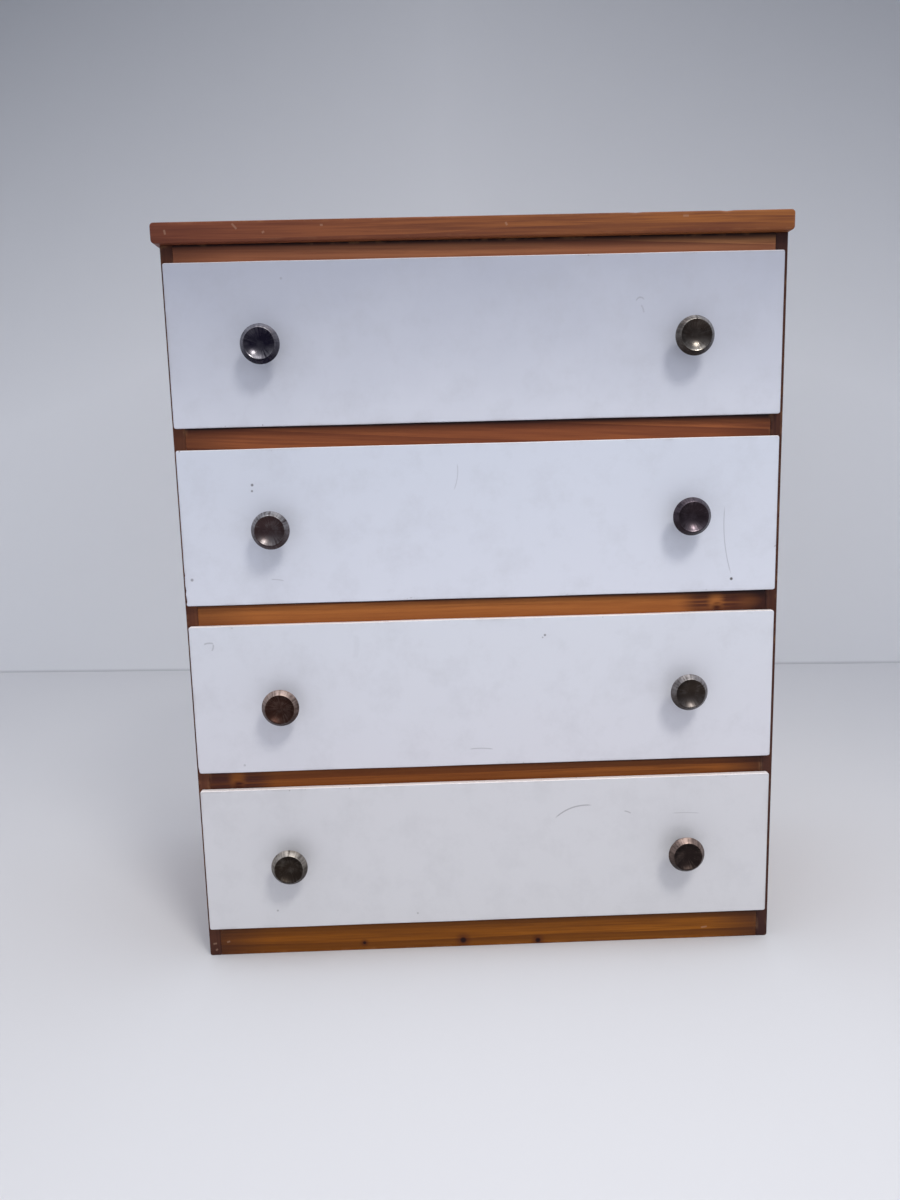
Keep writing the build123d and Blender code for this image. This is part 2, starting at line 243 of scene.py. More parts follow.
def pine(name, node, grain, early, late, blotch, drift=None, ring_mm=5.0, ring_depth=0.85, lean=0.0,
         pith=(0, 34, -22), knots=(), pins=(), nicks=(), grime=(0.5, 0.5), covered=None, shade_and_dirt_reach=1.0,
         edge_shade_and_dirt=0.0, gloss=0.4):
    """Pine, sawn and sanded, with its grain along one axis.

    Rings are cylinders round a pith line that lies outside the board and leans a little, so a
    face cut near them shows long bands that cross it slantwise. Each ring goes from pale early
    wood to a darker late line. The early wood may drift to another colour from one end to the
    other. Stain gathers in blotches, along the fibres and in the corners at the two ends. Its
    varnish gives a satin gloss. It has worn thin in places along the edges, except on undersides.

    Knots and pins, which are small knots, are (x, z, radius) on the front face, and nicks are
    scratches, (x, z, length, angle), in millimetres. A drawer front or the top may cover the
    upper millimetres of a rail. Under that edge a dark band is painted, wider to the right, which
    is painted shade with some dirt. The front edges of the side panels, beside the drawer fronts,
    are darkened too, also painted shade with some dirt.
    """
    material, tree, shader = new_material(name, IOR=1.5, Specular_IOR_Level=0.16)
    low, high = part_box(node)
    axis = "XYZ".index(grain)
    start, end = low[axis], high[axis]
    here = add(tree, "TexCoord").outputs["Object"]
    face = add(tree, "Mapping", {"Vector": here, "Scale": (1, 0, 1)}).outputs[0]
    axes = add(tree, "SeparateXYZ", {0: here}).outputs
    along = axes[grain]

    turn = Vector(GRAIN_TURN[grain]) + Vector((0, radians(lean), 0))
    stem = {"Vector": here, "Location": (low + high) / 2 + Vector(pith) * MM, "Rotation": turn}
    stretched = {**stem, "Scale": (STAIN_STRETCH, 1, 1)}
    across = add(tree, "Mapping", stretched, vector_type="TEXTURE").outputs[0]
    stretched = {**stem, "Scale": (FIBRE_STRETCH, 1, 1)}
    thready = add(tree, "Mapping", stretched, vector_type="TEXTURE").outputs[0]
    growth = {"Vector": across, "Scale": WAVE_LENGTH / (ring_mm * MM), "Distortion": 3.5, "Detail": 2.0,
              "Detail Scale": 0.6, "Detail Roughness": 0.5}
    rings = add(tree, "TexWave", growth, wave_type="RINGS", rings_direction="X", wave_profile="SAW")
    latewood = add(tree, "Math", {0: rings.outputs["Fac"], 1: 2.2}, operation="POWER").outputs[0]
    fine = {"Vector": thready, "Scale": 1 / (FIBRE * MM), "Detail": 4.0, "Roughness": 0.62}
    fibres = add(tree, "TexNoise", fine).outputs["Fac"]
    coarse = {"Vector": across, "Scale": 1 / (STAIN_PATCH * MM), "Detail": 2.0}
    patches = add(tree, "TexNoise", coarse).outputs["Fac"]

    colour = laid_on(tree, linear(early), drift or early, along, start, end)
    colour = laid_on(tree, colour, late, latewood, most=ring_depth)
    colour = laid_on(tree, colour, late, fibres, 0.4, 0.66, 0.7)
    colour = laid_on(tree, colour, blotch, patches, 0.42, 0.68, 0.6)
    colour = dirty_ends(tree, colour, along, patches, start, end, grime)
    # Painted shade, with some dirt: the front edges of the side panels are darkened along their length, where
    # they stand beside the drawer fronts.
    if edge_shade_and_dirt:
        front = low.y
        colour = laid_on(tree, colour, EDGE_SHADE_AND_DIRT, axes["Y"], front + 2 * MM, front + 0.2 * MM, edge_shade_and_dirt)
    for knot in knots:
        colour = pine_knot(tree, colour, face, fibres, early, *knot)
    for pin in pins:
        colour = pin_knot(tree, colour, face, *pin)
    # Painted shade, with some dirt: a dark band on the rail under the edge that covers its top, wider to the
    # right.
    if covered is not None:
        edge_height = high.z - covered * MM
        colour = shaded_and_dirty_under(tree, colour, along, axes["Z"], start, end, edge_height, shade_and_dirt_reach)
    for nick in nicks:
        colour = scratched(tree, colour, face, *nick)

    uneven = {"Vector": here, "Scale": 1 / (RUBBED_PATCH * MM), "Detail": 3.0}
    rubbed_and_highlit = by_edges(tree, add(tree, "TexNoise", uneven).outputs["Fac"], 0.5, 0.7, 0.25)
    normal = add(tree, "NewGeometry").outputs["True Normal"]
    upright = add(tree, "SeparateXYZ", {0: normal}).outputs["Z"]
    reached = add(tree, "MapRange", {"Value": upright, "From Min": -0.3, "From Max": 0.0}).outputs[0]
    worn = add(tree, "Math", {0: rubbed_and_highlit, 1: reached}, operation="MULTIPLY").outputs[0]
    colour = laid_on(tree, colour, RUBBED_STAIN, worn)
    tree.links.new(colour, shader.inputs["Base Color"])

    dull = {"Value": fibres, "From Min": 0.3, "From Max": 0.7, "To Min": gloss - 0.06, "To Max": gloss + 0.08}
    tree.links.new(add(tree, "MapRange", dull).outputs[0], shader.inputs["Roughness"])
    relief = add(tree, "Math", {0: latewood, 1: 0.5, 2: fibres}, operation="MULTIPLY_ADD").outputs[0]
    bump = add(tree, "Bump", {"Height": relief, "Strength": 0.4, "Distance": 0.1 * MM})
    tree.links.new(bump.outputs[0], shader.inputs["Normal"])
    return material


def bare_pine(node, grain):
    """Pine with nothing put on it, as inside a drawer: pale, and duller than varnished wood."""
    return pine(f"bare_pine_{node}", node, grain, "c79a66", "a0703f", "b98a56", gloss=0.62)


def plywood(name, node, face_grain, ply_axis):
    """Thin birch plywood, peeled and sanded: a pale low-contrast face, with a darker middle ply
    at its edges. It is dull, because nothing was put on it."""
    material, tree, shader = new_material(name, IOR=1.5, Roughness=0.6)
    low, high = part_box(node)
    here = add(tree, "TexCoord").outputs["Object"]
    stem = {"Vector": here, "Location": low, "Rotation": GRAIN_TURN[face_grain],
            "Scale": (PLY_STRETCH, 1, 1)}
    across = add(tree, "Mapping", stem, vector_type="TEXTURE").outputs[0]
    peeled = {"Vector": across, "Scale": 1 / (PLY_FIGURE * MM), "Detail": 5.0, "Roughness": 0.6,
              "Distortion": 0.6}
    figure = add(tree, "TexNoise", peeled).outputs["Fac"]
    colour = laid_on(tree, linear("b79468"), "97724a", figure)
    axis = "XYZ".index(ply_axis)
    through = add(tree, "SeparateXYZ", {0: here}).outputs[ply_axis]
    depth = {"Value": through, "From Min": low[axis], "From Max": high[axis]}
    share = add(tree, "MapRange", depth).outputs[0]
    off_middle = add(tree, "Math", {0: share, 1: 0.5}, operation="SUBTRACT").outputs[0]
    away = add(tree, "Math", {0: off_middle}, operation="ABSOLUTE").outputs[0]
    colour = laid_on(tree, colour, "6e4a2c", away, 0.2, 0.14, 0.65)
    tree.links.new(colour, shader.inputs["Base Color"])
    bump = add(tree, "Bump", {"Height": figure, "Strength": 0.35, "Distance": 0.08 * MM})
    tree.links.new(bump.outputs[0], shader.inputs["Normal"])
    return material


def painted_front(name, node, upper, lower, marks, dots):
    """White satin paint on thin hardboard, brushed on, rubbed and a little grubby.

    The white is graded from the upper edge to the lower one. This grading holds painted shade,
    most on the top drawer, which turns greyer and bluer towards its upper edge. It has a faint
    mottle, a fine lapped texture from the brush, grey grime and brown chips along the edges, and
    the scratches and specks of this drawer. Faces that turn upwards, the upper edge most, are
    painted near-white, a painted highlight. Marks are (start, end, bow, width, depth of colour)
    and dots are (x, z, radius, depth of colour), in millimetres.
    """
    material, tree, shader = new_material(name, IOR=1.5)
    low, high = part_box(node)
    here = add(tree, "TexCoord").outputs["Object"]
    face = add(tree, "Mapping", {"Vector": here, "Scale": (1, 0, 1)}).outputs[0]
    broad = {"Vector": here, "Scale": 1 / (PAINT_MOTTLE * MM), "Detail": 4.0, "Roughness": 0.6}
    mottle = add(tree, "TexNoise", broad).outputs["Fac"]
    height = add(tree, "SeparateXYZ", {0: here}).outputs["Z"]
    # Painted shade: the white is graded from the lower colour to the upper one, along a wavering height.
    uneven = add(tree, "Math", {0: mottle, 1: 26 * MM, 2: height}, operation="MULTIPLY_ADD").outputs[0]
    colour = laid_on(tree, linear(lower), upper, uneven, low.z + 16 * MM, high.z + 10 * MM)
    blotchy = {"Vector": here, "Scale": 1 / (PAINT_GRIME * MM), "Detail": 8.0, "Roughness": 0.66}
    grime = add(tree, "TexNoise", blotchy).outputs["Fac"]
    colour = laid_on(tree, colour, GREYED_PAINT, grime, 0.48, 0.75, 0.17)

    for start, end, bow, width, depth in marks:
        line = stroke(tree, face, Vector(start) * MM, Vector(end) * MM, bow * MM, width * MM)
        colour = laid_on(tree, colour, SCRATCHED_PAINT, line, most=depth)
    for x, z, radius, depth in dots:
        blot = spot(tree, face, (x * MM, 0, z * MM), radius * MM, 0.4 * radius * MM)
        colour = laid_on(tree, colour, SPECK, blot, most=depth)

    colour = laid_on(tree, colour, GRUBBY_EDGE, by_edges(tree, grime, 0.42, 0.7, 0.25))
    upright = add(tree, "SeparateXYZ", {0: add(tree, "NewGeometry").outputs["True Normal"]}).outputs["Z"]
    # Painted highlight: faces that turn upwards, such as the upper edge, are painted near-white.
    colour = laid_on(tree, colour, TOP_EDGE_HIGHLIGHT, upright, 0.25, 0.6)
    flaking = {"Vector": here, "Scale": 1 / (PAINT_CHIP * MM), "Detail": 3.0, "Roughness": 0.7}
    chips = add(tree, "TexNoise", flaking).outputs["Fac"]
    colour = laid_on(tree, colour, BARED_HARDBOARD, by_edges(tree, chips, 0.69, 0.72))
    tree.links.new(colour, shader.inputs["Base Color"])

    dull = {"Value": mottle, "From Min": 0.3, "From Max": 0.7, "To Min": 0.36, "To Max": 0.46}
    tree.links.new(add(tree, "MapRange", dull).outputs[0], shader.inputs["Roughness"])
    sideways = {"Vector": here, "Scale": (BRUSH_STRETCH, 1, 1)}
    brushed = add(tree, "Mapping", sideways, vector_type="TEXTURE").outputs[0]
    lapped = {"Vector": brushed, "Scale": 1 / (BRUSH_LAP * MM), "Detail": 3.0}
    laps = add(tree, "TexNoise", lapped).outputs["Fac"]
    bump = add(tree, "Bump", {"Height": laps, "Strength": 0.3, "Distance": 0.06 * MM})
    tree.links.new(bump.outputs[0], shader.inputs["Normal"])
    return material


def antique_metal(name, node, patina, bare_metal, dish_highlight):
    """A zinc casting plated and blackened to look old, then rubbed bright by hands.

    The blackening stays on the neck and in most dishes. The attribute "edge" says where it gives
    way to bare metal. On the bevelled flank this is wear from hands together with painted light,
    brightest on top and darkest below. At the lower rim of a dish it is a painted highlight, strong
    on the upper two drawers. Polishing has left streaks that run outwards. A knob with the most
    painted highlight in its dish is the glossiest.
    """
    material, tree, shader = new_material(name, Metallic=1.0)
    low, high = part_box(node)
    here = add(tree, "TexCoord").outputs["Object"]
    cloudy = {"Vector": here, "Scale": 1 / (METAL_BLOT * MM), "Detail": 5.0, "Roughness": 0.65}
    blots = add(tree, "TexNoise", cloudy).outputs["Fac"]
    face_on = {"Vector": here, "Location": (low + high) / 2, "Rotation": (pi / 2, 0, 0)}
    facing = add(tree, "Mapping", face_on, vector_type="TEXTURE").outputs[0]
    turn = add(tree, "TexGradient", {0: facing}, gradient_type="RADIAL").outputs["Fac"]
    outwards = {"W": turn, "Scale": POLISH_STREAKS, "Detail": 3.0}
    streaks = add(tree, "TexNoise", outwards, noise_dimensions="1D").outputs["Fac"]
    both = {0: streaks, 1: 0.5, 2: blots}
    polish = add(tree, "Math", both, operation="MULTIPLY_ADD").outputs[0]
    # Painted light as well as wear: bare metal is laid where highlights fall, at the dish's lower rim and the
    # flank's top.
    rubbed_and_highlit = by_edges(tree, polish, 0.45, 0.85)
    worn = {"Value": polish, "From Min": 0.7, "From Max": 1.0, "To Max": 0.1}
    thin = add(tree, "MapRange", worn).outputs[0]
    bared_and_highlit = add(tree, "Math", {0: rubbed_and_highlit, 1: thin}, operation="MAXIMUM").outputs[0]
    colour = laid_on(tree, linear(patina), bare_metal, bared_and_highlit)
    tree.links.new(colour, shader.inputs["Base Color"])
    roughest = 0.46 - 0.2 * dish_highlight
    dull = {"Value": polish, "From Min": 0.5, "From Max": 1.0, "To Min": roughest, "To Max": roughest - 0.08}
    tree.links.new(add(tree, "MapRange", dull).outputs[0], shader.inputs["Roughness"])
    bump = add(tree, "Bump", {"Height": polish, "Strength": 0.35, "Distance": 0.1 * MM})
    tree.links.new(bump.outputs[0], shader.inputs["Normal"])
    return material


def zinc_steel(name):
    """Drawn steel wire, zinc plated, for the pins and screws: pale grey, dulled in spots."""
    material, tree, shader = new_material(name, Metallic=1.0)
    here = add(tree, "TexCoord").outputs["Object"]
    dotted = {"Vector": here, "Scale": 1 / (ZINC_SPOT * MM), "Detail": 3.0}
    spots = add(tree, "TexNoise", dotted).outputs["Fac"]
    colour = laid_on(tree, linear("b9babb"), "77736f", spots)
    tree.links.new(colour, shader.inputs["Base Color"])
    dull = {"Value": spots, "To Min": 0.3, "To Max": 0.55}
    tree.links.new(add(tree, "MapRange", dull).outputs[0], shader.inputs["Roughness"])
    return material


# ---------------------------------------------------------------- pieces

EDGE_REACH = 1.4 * MM  # how far from an edge wear can show


def finish_piece(shape, name, node, material, wear_and_highlight, smooth=True):
    """Turns a bmesh into a named piece that rides on its node's body and replaces it.

    A function says how far each point of the piece is rubbed, and on the knobs also where
    painted highlight and painted shade go. The materials read its result as the attribute "edge".
    """
    mesh = bpy.data.meshes.new(name)
    shape.to_mesh(mesh)
    shape.free()
    mesh.polygons.foreach_set("use_smooth", [smooth] * len(mesh.polygons))
    values = [wear_and_highlight(vertex.co) for vertex in mesh.vertices]
    mesh.attributes.new("edge", "FLOAT", "POINT").data.foreach_set("value", values)
    piece = bpy.data.objects.new(name, mesh)
    bpy.context.scene.collection.objects.link(piece)
    mesh.materials.append(material)
    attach(piece, BODY_OF[node])
    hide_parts(node)
    return piece


def cover(node, material):
    """Gives a CAD object, whose shape is kept, its material."""
    for slot in NODES[node].material_slots:
        slot.material = material


def board_wear(low, high):
    """How near a point of a board is to one of its long edges: 1 on it, and 0 out of reach."""
    def near_edge(point):
        gaps = sorted(min(point[i] - low[i], high[i] - point[i]) for i in range(3))
        return max(0.0, 1 - gaps[1] / EDGE_REACH)
    return near_edge


def cut_loops(shape, axis, places):
    """Cuts a board across one axis at each of these places."""
    normal = Vector([float(i == axis) for i in range(3)])
    for place in places:
        whole = shape.verts[:] + shape.edges[:] + shape.faces[:]
        bmesh.ops.bisect_plane(shape, geom=whole, plane_co=normal * place, plane_no=normal, dist=1e-7)


def edge_loops(shape, low, high):
    """Loops beside a board's edges, so that wear fades close to them."""
    for axis in range(3):
        if high[axis] - low[axis] > 3 * EDGE_REACH:
            cut_loops(shape, axis, (low[axis] + EDGE_REACH, high[axis] - EDGE_REACH))


def eased_board(node, material, ease=0.25 * MM):
    """A sawn board with its long edges eased by sandpaper, holes and grooves kept."""
    shape = bmesh.new()
    shape.from_mesh(NODES[node].data)
    bmesh.ops.remove_doubles(shape, verts=shape.verts, dist=1e-6)
    bmesh.ops.dissolve_limit(shape, angle_limit=radians(1), verts=shape.verts, edges=shape.edges)
    sharp = [e for e in shape.edges if len(e.link_faces) == 2 and e.calc_length() > 3 * MM
             and e.calc_face_angle() > radians(50)]
    bmesh.ops.bevel(shape, geom=sharp, offset=ease, affect="EDGES", segments=2, profile=0.5, material=-1)
    low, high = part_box(node)
    edge_loops(shape, low, high)
    finish_piece(shape, node + "_board", node, material, board_wear(low, high), smooth=False)


def rounded_board(node, corner, ease, pitch):
    """A board as wide as its node, with rounded corners seen from the front, eased edges and a
    grid of cuts for later shaping."""
    low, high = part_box(node)
    shape = bmesh.new()
    bmesh.ops.create_cube(shape, size=1)
    bmesh.ops.scale(shape, vec=high - low, verts=shape.verts)
    bmesh.ops.translate(shape, vec=(low + high) / 2, verts=shape.verts)
    ends = [e for e in shape.edges if abs(e.verts[0].co.y - e.verts[1].co.y) > 1e-6]
    bmesh.ops.bevel(shape, geom=ends, offset=corner, affect="EDGES", segments=6, profile=0.5, material=-1)
    rims = [e for e in shape.edges if abs(e.verts[0].co.y - e.verts[1].co.y) < 1e-6]
    bmesh.ops.bevel(shape, geom=rims, offset=ease, affect="EDGES", segments=3, profile=0.5, material=-1)
    edge_loops(shape, low, high)
    for axis in (0, 2):
        count = int((high[axis] - low[axis]) / pitch)
        step = (high[axis] - low[axis]) / max(count, 1)
        cut_loops(shape, axis, [low[axis] + step * i for i in range(1, count)])
    return shape, low, high


def dent(shape, middle, reach, push):
    """Pushes in a small knock: points within reach of its middle move, less and less outwards."""
    middle, push = Vector(middle), Vector(push)
    near = [e for e in shape.edges if any((v.co - middle).length < reach for v in e.verts)]
    bmesh.ops.subdivide_edges(shape, edges=near, cuts=2, use_grid_fill=True)
    for vertex in shape.verts:
        away = (vertex.co - middle).length / reach
        if away < 1:
            vertex.co += push * (1 - away * away) ** 2


# How a drawer front that was cut by hand strays from true, in millimetres
WAVER_LENGTH = 34   # about how far it is from one bulge of an edge to the next
WAVER_DEPTH = 0.12
HOLLOW_DEPTH = 0.06  # of the shallow hollows in its face
# Knocks in the ends of the fronts, (x, z, reach, depth), and along the upper front edge of the
# top, (x, reach, depth), in millimetres
FRONT_DENTS = {
    2: ((-125.4, 163.8, 2.2, 0.7), (-125.5, 168.0, 1.6, 0.5), (-125.5, 174.5, 1.4, 0.35)),
    3: ((-125.4, 88.0, 1.8, 0.4),),
}
TOP_DENTS = (
    (-96, 2.2, 0.5), (-70, 1.4, 0.35), (-20, 1.5, 0.3), (12, 1.8, 0.35), (64, 1.4, 0.3), (101, 2.0, 0.4),
)


def front_panel(drawer, material):
    """A thin painted drawer front, cut by hand, so that its edges waver and its face is not flat."""
    node = f"drawer_{drawer}_front"
    shape, low, high = rounded_board(node, corner=0.9 * MM, ease=0.4 * MM, pitch=6 * MM)
    middle = (low + high) / 2
    own_waver = Vector((0, drawer * 7.0, 0))
    for vertex in shape.verts:
        place = Vector((vertex.co.x, 0, vertex.co.z)) / (WAVER_LENGTH * MM) + own_waver
        waver = noise.noise(place) * WAVER_DEPTH * MM
        vertex.co.z += waver * abs(vertex.co.z - middle.z) / (high.z - low.z) * 2
        if vertex.co.y < middle.y:
            vertex.co.y += (1 + noise.noise(place * 0.6)) * HOLLOW_DEPTH * MM
    for x, z, reach, depth in FRONT_DENTS.get(drawer, ()):
        inward = (Vector((middle.x, 0, middle.z)) - Vector((x * MM, 0, z * MM))).normalized()
        dent(shape, (x * MM, low.y, z * MM), reach * MM, inward * depth * MM)
    name = f"drawer_{drawer}_painted_front"
    piece = finish_piece(shape, name, node, material, board_wear(low, high))
    piece.modifiers.new("Even shading", "WEIGHTED_NORMAL")


def top_panel(material):
    """The stained top with rounded ends, and small knocks along its upper front edge."""
    shape, low, high = rounded_board("top_board", corner=1.5 * MM, ease=0.6 * MM, pitch=9 * MM)
    for x, reach, depth in TOP_DENTS:
        dent(shape, (x * MM, low.y, high.z), reach * MM, Vector((0, 0.7, -0.7)) * depth * MM)
    piece = finish_piece(shape, "top_stained_board", "top_board", material, board_wear(low, high))
    piece.modifiers.new("Even shading", "WEIGHTED_NORMAL")


def arc(middle, radius, start, end, count):
    """Points on an arc of a section, from one angle to another, in degrees."""
    steps = [radians(start + (end - start) * i / (count - 1)) for i in range(count)]
    return [(middle[0] + radius * cos(a), middle[1] + radius * sin(a)) for a in steps]


def knob_section():
    """Half of a knob's section, (radius, height off the drawer front) in millimetres.

    It runs from the middle of the dish over the rim, the bevelled flank and the widest edge,
    back under the head, down the neck, over the foot and up the screw hole.
    """
    dish_radius = 9.3
    dish = arc((0, 8.2 + dish_radius), dish_radius, -90, -49, 12)
    rim = arc((6.2, 10.38), 0.12, 120, 40, 4)
    flank = [(6.6, 10.02), (7.1, 9.28), (7.55, 8.6)]
    widest = arc((7.65, 8.0), 0.25, 40, -50, 5)
    under = [(7.2, 7.3), (6.2, 6.85), (5.1, 6.35)]
    throat = arc((4.2, 5.0), 1.2, 110, 180, 6)
    foot = arc((4.0, 1.8), 1.0, 180, 270, 7)
    foot_edge = arc((3.85, 0.15), 0.15, 0, -90, 4)
    hole = [(1.5, 0.0), (1.5, 6.0), (0.0, 6.0)]
    return dish + rim + flank + widest + under + throat + foot + [(4.0, 0.7)] + foot_edge + hole


DISH_EDGE = 6.12 * MM    # from the axis of a knob
RUBBED_FROM = 7.4 * MM   # from the drawer front: behind this, hands leave a knob alone


def knob_wear_and_highlight(foot, dish_highlight, flank_wear_and_highlight):
    """How far a point of a knob is bared to bright metal. On the flank this is wear with painted
    light, brightest on top and fading below. In the dish it is a painted highlight towards the
    lower rim."""
    def wear_and_highlight_at(point):
        if foot.y - point.y <= RUBBED_FROM:
            return 0.0
        away = Vector((point.x - foot.x, point.z - foot.z)) / DISH_EDGE
        if away.length <= 1:
            # Painted highlight in the dish, towards its lower rim.
            return dish_highlight * max(0.0, -away.y) ** 1.5
        # Wear on the flank, with painted highlight on top and painted shade below.
        upwards = 0.5 + 0.5 * away.normalized().y
        return flank_wear_and_highlight * upwards ** 1.6
    return wear_and_highlight_at


def knob(node, material, dish_highlight, flank_wear_and_highlight):
    """A dished knob, turned about its own axis."""
    low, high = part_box(node)
    foot = Vector(((low.x + high.x) / 2, high.y, (low.z + high.z) / 2))
    shape = bmesh.new()
    points = [shape.verts.new(foot + Vector((r * MM, -h * MM, 0))) for r, h in knob_section()]
    chain = [shape.edges.new(pair) for pair in zip(points, points[1:])]
    bmesh.ops.spin(shape, geom=points + chain, cent=foot, axis=(0, 1, 0), angle=2 * pi, steps=80,
                   use_merge=True)
    bmesh.ops.remove_doubles(shape, verts=shape.verts, dist=1e-6)
    bmesh.ops.recalc_face_normals(shape, faces=shape.faces)
    finish_piece(shape, node + "_turned", node, material, knob_wear_and_highlight(foot, dish_highlight, flank_wear_and_highlight))


# ---------------------------------------------------------------- the chest

# Stained boards: early wood, late wood and blotch colours, then what is particular to each
STAINED = {
    "top_board": ("834a36", "5f3226", "703b2a", dict(
        drift="a66734", ring_depth=0.5, pith=(10, 60, -30), grime=(0.15, 0.0),
        nicks=((-96.0, 313.2, 3.0, -50), (-123.5, 311.5, 2.0, -80), (-84.7, 310.8, 1.2, 30),
               (12.0, 312.0, 1.5, -60), (-61.5, 313.0, 1.2, 0), (84.0, 313.6, 2.5, 0)))),
    # Under the top board, the top rail gets a dark band of painted shade with some dirt.
    "top_rail": ("aa6a48", "7a4833", "8e543c", dict(
        drift="dc9a62", pith=(-30, 50, -18), lean=1.0, grime=(0.4, 0.15), covered=0.4, shade_and_dirt_reach=1.4)),
    "drawer_rail_1": ("a66138", "683522", "7d442b", dict(
        pith=(40, 16, -34), lean=3.2, ring_mm=6.0, covered=2.2)),
    "drawer_rail_2": ("bb7338", "8c4e24", "985729", dict(
        pith=(-60, 44, 26), grime=(0.35, 1.1), knots=((100.8, 156.3, 3.4),), covered=2.5)),
    "drawer_rail_3": ("94551f", "5c2d10", "743b14", dict(
        pith=(20, 40, 20), grime=(0.6, 0.9), knots=((-109.5, 83.0, 3.6),), covered=2.7)),
    "bottom_rail": ("90520f", "5c300a", "743f08", dict(
        drift="9c5c16", pith=(-20, 50, -36), grime=(0.7, 0.7), covered=2.1,
        pins=((-57.1, 3.4, 0.7), (-12.2, 3.0, 1.3), (21.9, 1.6, 1.1)),
        nicks=((-118.5, 6.3, 1.6, 20), (98.0, 5.2, 3.0, 8)))),
    "side_left": ("8c5332", "5f3421", "6c3c27", dict(
        pith=(70, 20, 0), grime=(0.8, 0.8), edge_shade_and_dirt=0.45,
        nicks=((-124.6, 5.6, 1.8, 10), (-124.0, 2.6, 1.2, 40)))),
    "side_right": ("8c5332", "5f3421", "6c3c27", dict(pith=(-70, 24, 0), grime=(0.8, 0.8), edge_shade_and_dirt=0.8)),
    "rear_top_rail": ("a87a50", "7c5230", "94673f", dict(pith=(0, 30, 20))),
    "rear_bottom_rail": ("a87a50", "7c5230", "94673f", dict(pith=(30, 28, 24))),
}
for node, (early, late, blotch, particular) in STAINED.items():
    grain = "Z" if node.startswith("side") else "X"
    wood = pine(f"stained_pine_{node}", node, grain, early, late, blotch, **particular)
    if node == "top_board":
        top_panel(wood)
    else:
        eased_board(node, wood)

for side in ("left", "right"):
    for node in [f"kicker_{side}"] + [f"runner_{side}_{drawer}" for drawer in DRAWERS]:
        eased_board(node, bare_pine(node, "Y"))

eased_board("back_panel", plywood("plywood_back_panel", "back_panel", "Z", "Y"), ease=0.15 * MM)

# Scratches and smudges of each front: ((start x, z), (end x, z), bow, width, depth of colour), and
# specks: (x, z, radius, depth of colour), in millimetres
FRONT_MARKS = {
    1: (((64.2, 281.2), (67.8, 281.8), 1.2, 0.5, 0.3), ((66.4, 279.8), (67.6, 276.6), 0.2, 0.5, 0.22)),
    2: (((102.5, 197.7), (105.8, 168), -1.5, 0.3, 0.35), ((-9.9, 218), (-11.5, 207), 0.8, 0.3, 0.25),
        ((-89.5, 171.6), (-84, 170.9), 0.2, 0.35, 0.25)),
    3: (((-7.5, 94.4), (3.0, 94.1), 0.4, 0.35, 0.35), ((-119.6, 144.5), (-115.4, 144.7), 0.4, 0.5, 0.35),
        ((-115.6, 144.5), (-116.4, 141.5), 0.3, 0.5, 0.3), ((-55, 147), (-56, 136), 0.8, 1.8, 0.05)),
    4: (((29.7, 61.3), (46.2, 66.8), 2.0, 0.45, 0.5), ((60.5, 63.6), (63.5, 62.4), 0.2, 0.4, 0.4),
        ((81.8, 61.8), (94.3, 61.4), 0.3, 0.3, 0.25)),
}
FRONT_DOTS = {
    1: ((-78.7, 293.2, 0.5, 0.2),),
    2: ((-95.1, 211.3, 0.55, 0.7), (-95.3, 208.8, 0.45, 0.6), (-122.6, 172.3, 0.6, 0.5),
        (105.9, 166.3, 0.6, 0.9)),
    3: ((26.0, 144.2, 0.5, 0.6), (25.0, 143.2, 0.35, 0.4), (-105.5, 90.4, 0.5, 0.25)),
    4: ((-94.9, 22.2, 0.45, 0.4), (-32.4, 18.6, 0.45, 0.3)),
}
# The white of each front, at its upper and its lower edge. These are the paint's own tone with
# painted shade on it, most on the top drawer, whose white darkens and turns bluer towards its
# upper edge.
FRONT_WHITE_AND_SHADE = {
    1: ("babdc9", "d8dae3"),
    2: ("d9dde7", "dee0e9"),
    3: ("dcdee5", "dad9df"),
    4: ("d6d5d8", "d5d4d6"),
}
# The blackening and the bare metal of each knob, how much painted highlight its dish gets towards
# its lower rim, and how far its flank is worn bright, with painted highlight on top
KNOB_METAL = {
    (1, "left"): ("1e1b28", "aaa6aa", 0.8, 1.0), (1, "right"): ("332c28", "b0aaa2", 0.85, 1.0),
    (2, "left"): ("3e3030", "b8b6b6", 0.4, 1.0), (2, "right"): ("2c2428", "948890", 0.55, 0.5),
    (3, "left"): ("36221c", "c4aea2", 0.03, 1.0), (3, "right"): ("352d28", "b4aeac", 0.25, 1.0),
    (4, "left"): ("2e2620", "c0b8ae", 0.03, 1.0), (4, "right"): ("2a2220", "bca498", 0.03, 0.8),
}
steel = zinc_steel("zinc_plated_steel")
for drawer in DRAWERS:
    start = f"drawer_{drawer}_"
    paint = painted_front(f"white_paint_front_{drawer}", start + "front", *FRONT_WHITE_AND_SHADE[drawer],
                          FRONT_MARKS[drawer], FRONT_DOTS[drawer])
    front_panel(drawer, paint)
    for part, grain in (("box_front", "X"), ("side_left", "Y"), ("side_right", "Y"), ("back", "X")):
        eased_board(start + part, bare_pine(start + part, grain))
    bottom = start + "bottom"
    eased_board(bottom, plywood(f"plywood_{bottom}", bottom, "X", "Z"), ease=0.1 * MM)
    for side in ("left", "right"):
        node = f"{start}knob_{side}"
        patina, bare_metal, dish_highlight, flank_wear_and_highlight = KNOB_METAL[drawer, side]
        metal = antique_metal(f"antique_metal_{node}", node, patina, bare_metal, dish_highlight)
        knob(node, metal, dish_highlight, flank_wear_and_highlight)
    cover(start + "knob_screws", steel)
for node in ("side_pins", "back_pins", "top_screws"):
    cover(node, steel)


# ---------------------------------------------------------------- floor, backdrop, light, camera

